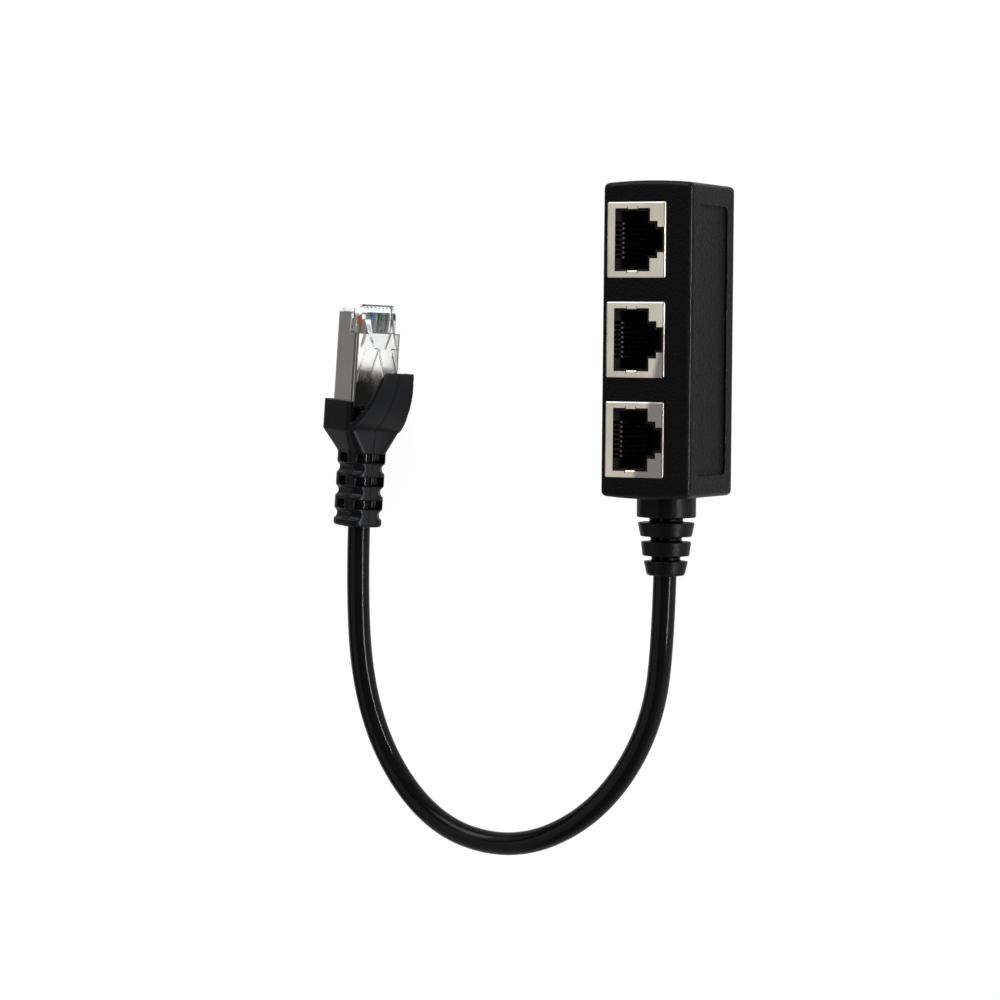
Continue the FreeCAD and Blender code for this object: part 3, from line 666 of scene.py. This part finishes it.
# Cores. Eight insulated wires in the order of the common wiring standard, the pale one of
# each pair striped with the colour of its mate.
core_colours = (
    ("wire_white_orange", (0.54, 0.52, 0.49), (0.62, 0.13, 0.02)),
    ("wire_orange", (0.62, 0.13, 0.02), (0.55, 0.11, 0.02)),
    ("wire_white_green", (0.54, 0.52, 0.49), (0.03, 0.30, 0.06)),
    ("wire_blue", (0.02, 0.08, 0.42), (0.02, 0.10, 0.48)),
    ("wire_white_blue", (0.54, 0.52, 0.49), (0.02, 0.08, 0.42)),
    ("wire_green", (0.03, 0.30, 0.06), (0.03, 0.26, 0.05)),
    ("wire_white_brown", (0.54, 0.52, 0.49), (0.22, 0.045, 0.02)),
    ("wire_brown", (0.22, 0.045, 0.02), (0.18, 0.04, 0.02)),
)
stripes_per_metre = 120.0
stripe_edge = 0.75
for number, (name, ground, stripe) in enumerate(core_colours, 1):
    core = Finish(name)
    band = core.node("ShaderNodeTexWave", {"wave_type": "BANDS", "bands_direction": "DIAGONAL"},
                     {"Vector": core.place, "Scale": stripes_per_metre}, "Fac")
    mark = (band > stripe_edge) if number % 2 else core.noise(1 * mm)
    sleeved = core.surface(
        Base_Color=core.blend(mark, ground, stripe),
        Roughness=core.noise(0.6 * mm) * 0.1 + 0.35)
    dress(sleeved, "plug_wire_%d" % number)


# Boot. Soft black PVC moulded in one piece: a block round the plug's rear, the curved guard
# over its latch and the windowed sleeve down the cable. Its edges are softly rounded, a dark rib
# in its mouth stands in for shade behind the plug, and the mould's flash line runs down its middle.
boot_voxel = 0.2 * mm
boot_triangles = 110000
boot_crease = 60
guard_base = 5.0 * mm
guard_droop = 0.14
guard_narrowing = 0.07
shade_rib_centre = (0, -22.0, 2.9)
shade_rib_size = (11.8, 0.7, 2.2)
flash_radius = 0.08 * mm
flash_step = 0.3
flash_reach = (13.6, 48.2)
flash_sides = 2
least_bead = 3
clear_above = 25
window_floor = 2.7

rubber = Finish("boot_black", Specular_IOR_Level=0.15)
bloom = rubber.noise(6 * mm, 3)
skin = rubber.noise(0.25 * mm, 3)
boot_black = rubber.surface(
    Base_Color=rubber.blend(bloom, (0.0020, 0.0023, 0.0030), (0.0038, 0.0042, 0.0054)),
    Roughness=bloom * 0.1 + skin * 0.1 + 0.22,
    relief=skin, depth=0.006 * mm)

soft = bmesh.new()
soft.from_mesh(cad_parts["plug_boot"].data)
bmesh.ops.remove_doubles(soft, verts=soft.verts, dist=0.001 * mm)
for vertex in soft.verts:
    place = plug_place.inverted() @ vertex.co
    raised = max(0, place.z - guard_base)
    place.z -= raised * guard_droop
    place.x *= 1 - guard_narrowing * min(1, raised / guard_base)
    vertex.co = plug_place @ place
# Stand-in for shade: a dark block of the boot's rubber behind the plug's end hides the lit cores
# there.
bmesh.ops.create_cube(soft, size=mm, matrix=plug_place @ Matrix.Translation(Vector(shade_rib_centre) * mm)
                      @ Matrix.Diagonal((*shade_rib_size, 1)))
boot_mesh = bpy.data.meshes.new("boot")
soft.to_mesh(boot_mesh)
soft.free()
boot = link("boot", boot_mesh)
remesh = boot.modifiers.new("remesh", "REMESH")
remesh.mode = "VOXEL"
remesh.voxel_size = boot_voxel
ease = boot.modifiers.new("ease", "SMOOTH")
ease.factor = 0.5
ease.iterations = 4
keep_as_made(boot)
thin = boot.modifiers.new("thin", "DECIMATE")
thin.ratio = min(1.0, boot_triangles / (2 * len(boot.data.polygons)))
keep_as_made(boot)
smooth(boot, boot_black, boot_crease)
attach(boot, "root")
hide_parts("plug_boot")

skin_tree = BVHTree.FromPolygons([vertex.co for vertex in boot.data.vertices],
                                 [face.vertices for face in boot.data.polygons])
beads = [[]]
distance = flash_reach[0]
while distance < flash_reach[1]:
    above = plug_place @ (Vector((0, -distance, clear_above)) * mm)
    down = plug_place.to_3x3() @ Vector((0, 0, -1))
    hit = skin_tree.ray_cast(above, down)[0]
    if hit and (plug_place.inverted() @ hit).z > window_floor * mm:
        beads[-1].append(hit)
    elif beads[-1]:
        beads.append([])
    distance += flash_step
flash_line = bpy.data.curves.new("boot_flash", "CURVE")
flash_line.dimensions = "3D"
flash_line.bevel_depth = flash_radius
flash_line.bevel_resolution = flash_sides
for bead in beads:
    if len(bead) >= least_bead:
        stretch = flash_line.splines.new("POLY")
        stretch.points.add(len(bead) - 1)
        for point, place in zip(stretch.points, bead):
            point.co = (*place, 1)
boot_flash = as_mesh(link("boot_flash", flash_line))
smooth(boot_flash, boot_black)
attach(boot_flash, "root")
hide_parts("plug_boot")


# Stage. A white floor that glows, so that the camera sees it plain white, and a studio whose
# bright tent on the left and pale skyline show in reflections alone. Three cards stand round the
# object and show in reflections too.
floor_half = 3.0
floor_height = -0.1 * mm
floor_corners = ((-1, -1), (1, -1), (1, 1), (-1, 1))
paper_white = (0.82, 0.82, 0.82)
floor_glow = 1.21
glow_straight = 0.78
glow_mirrored = 0.345

floor_mesh = bpy.data.meshes.new("floor")
floor_mesh.from_pydata([(x * floor_half, y * floor_half, floor_height) for x, y in floor_corners],
                       [], [(0, 1, 2, 3)])
floor = link("floor", floor_mesh)
paper = Finish("floor_white", Roughness=0.9, Specular_IOR_Level=0.0)
paper.feed(paper.shader.inputs["Base Color"], paper_white)
camera_ray = paper.node("ShaderNodeLightPath", output="Is Camera Ray")
glossy_ray = paper.node("ShaderNodeLightPath", output="Is Glossy Ray")
clear_ray = paper.node("ShaderNodeLightPath", output="Is Transmission Ray")
glow = paper.node("ShaderNodeEmission", None, {"Color": (1, 1, 1), "Strength": floor_glow})
lit = paper.node("ShaderNodeMixShader", None, {
    0: (camera_ray + clear_ray) * glow_straight + glossy_ray * glow_mirrored,
    1: Value(paper, paper.shader.outputs["BSDF"]), 2: glow})
paper.feed(paper.tree.nodes["Material Output"].inputs["Surface"], lit)
floor_mesh.materials.append(paper.material)

tent_start, tent_full = -0.12, -0.3
tent_strength = 0.95
tent_slope = 3.5
tent_least, tent_most = 0.8, 1.15
skyline_strength = 0.7
skyline_fall = 4
lowest_sky = 0.28
mirrored_dip = 0.18
seen_lift = 0.72
studio = bpy.data.worlds.new("studio")
bpy.context.scene.world = studio
studio.use_nodes = True
air = Nodes(studio.node_tree)
seen = air.node("ShaderNodeLightPath", output="Is Camera Ray")
mirrored = air.node("ShaderNodeLightPath", output="Is Glossy Ray")
direction = air.node("ShaderNodeTexCoord", output="Generated")
aside, ahead, height = [air.node("ShaderNodeSeparateXYZ", None, {"Vector": direction}, axis)
                        for axis in "XYZ"]
tent = air.node("ShaderNodeMapRange", {"interpolation_type": "SMOOTHSTEP"},
                {"Value": aside, "From Min": tent_start, "From Max": tent_full,
                 "To Max": tent_strength}, "Result")
tent = tent * (ahead * tent_slope + 1).math("MAXIMUM", tent_least).math("MINIMUM", tent_most)
skyline = (1 - height) ** skyline_fall * skyline_strength
sky = studio.node_tree.nodes["Background"]
air.feed(sky.inputs["Color"], (1, 1, 1))
air.feed(sky.inputs["Strength"],
         seen * seen_lift + mirrored * (tent.math("MAXIMUM", skyline) - mirrored_dip) + lowest_sky)


def card(name, colour, glow, span, hidden_from=("camera", "diffuse", "shadow", "transmission")):
    """An upright sheet of one colour, hidden from all kinds of rays but the ones that mirror it."""
    mesh = bpy.data.meshes.new(name)
    x, y0, y1, z0, z1 = span
    mesh.from_pydata([Vector((x, y, z)) * mm for y, z in ((y0, z0), (y1, z0), (y1, z1), (y0, z1))],
                     [], [(0, 1, 2, 3)])
    sheet = link(name, mesh)
    felt = Finish(name, Roughness=1.0, Specular_IOR_Level=0.0, Emission_Strength=glow)
    felt.feed(felt.shader.inputs["Base Color"], colour)
    felt.feed(felt.shader.inputs["Emission Color"], colour)
    mesh.materials.append(felt.material)
    for kind in hidden_from:
        setattr(sheet, "visible_" + kind, False)


card("dark_flag", (0.14, 0.14, 0.14), 0.0, (-187, -200, 100, 0, 80))
card("black_flag", (0.02, 0.02, 0.02), 0.0, (-188, -30, 25, 0, 330))
card("reflector", (1, 1, 1), 0.8, (-15, -12.5, 12, 2, 20), ("camera", "diffuse", "shadow"))


# Light. A narrow strip from the right draws the sharp lines along the cable and the block's
# edge. A broad soft lamp from above the far end fills the rest.
def softbox(name, place, aim, size, power):
    """Rectangular area lamp that faces a point."""
    data = bpy.data.lights.new(name, "AREA")
    data.shape = "RECTANGLE"
    data.size, data.size_y = size
    data.energy = power
    lamp = bpy.data.objects.new(name, data)
    lamp.location = place
    lamp.rotation_euler = (Vector(aim) - Vector(place)).to_track_quat("-Z", "Y").to_euler()
    bpy.context.scene.collection.objects.link(lamp)


bpy.context.scene.view_settings.view_transform = "Standard"
middle = (-0.036, -0.02, 0.01)
softbox("key", (0.73, -0.02, 0.2), middle, (0.9, 0.018), 8.6)
softbox("fill", (-0.2, 0.8, 0.55), middle, (0.6, 0.5), 5.0)
